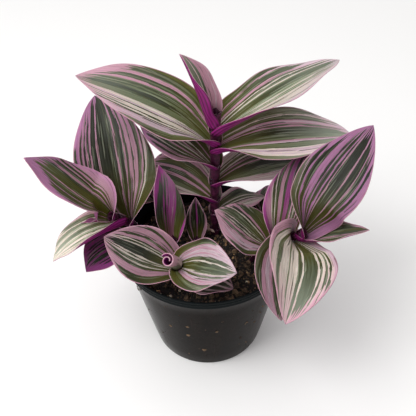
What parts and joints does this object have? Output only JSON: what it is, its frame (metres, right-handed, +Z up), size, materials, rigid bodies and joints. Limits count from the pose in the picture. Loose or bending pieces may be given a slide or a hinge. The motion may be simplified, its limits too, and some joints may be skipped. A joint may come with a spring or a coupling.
{
  "type": "potted tradescantia",
  "caption": "Potted tradescantia: pointed oval leaves striped green, cream and pink, magenta beneath, clasping purple stems in a small black nursery pot.",
  "frame": {"origin": "middle of the underside of the pot", "axes": "+Z up out of the pot, -Y towards the side from which the plant is seen, +X to that viewer's right"},
  "size_m": [0.1951, 0.1652, 0.1994],
  "materials": {
    "pot": "glossy",
    "soil": "matt, crumbly potting mix",
    "stem": "satin, fleshy",
    "leaf": "satin, striped green, cream and pink, magenta beneath",
    "dry_leaf": "matt, papery"
  },
  "bodies": {
    "root": {"pot": "pot", "soil": "soil", "stem_main": "stem", "stem_left": "stem", "stem_right": "stem", "stem_front": "stem", "stem_middle": "stem", "stem_small": "stem", "stem_rear_left": "stem", "stem_rear_right": "stem", "leaf_main_1": "leaf", "leaf_main_2": "leaf", "leaf_main_3": "leaf", "leaf_main_4": "leaf", "leaf_main_5": "leaf", "leaf_main_6": "leaf", "leaf_main_7": "leaf", "leaf_main_8": "leaf", "leaf_main_9": "leaf", "leaf_left_1": "leaf", "leaf_left_2": "leaf", "leaf_left_3": "leaf", "leaf_left_4": "leaf", "leaf_left_5": "leaf", "leaf_right_1": "leaf", "leaf_right_2": "leaf", "leaf_right_3": "leaf", "leaf_right_4": "leaf", "leaf_right_5": "leaf", "leaf_right_6": "leaf", "leaf_front_1": "leaf", "leaf_front_2": "leaf", "leaf_front_3": "leaf", "leaf_middle_1": "leaf", "leaf_small_1": "leaf", "leaf_rear_left_1": "leaf", "leaf_rear_left_2": "leaf", "leaf_rear_left_3": "leaf", "leaf_rear_right_1": "leaf", "leaf_rear_right_2": "leaf", "leaf_rear_right_3": "leaf", "leaf_withered": "dry_leaf", "leaf_front_4": "leaf"}
  },
  "joints": []
}
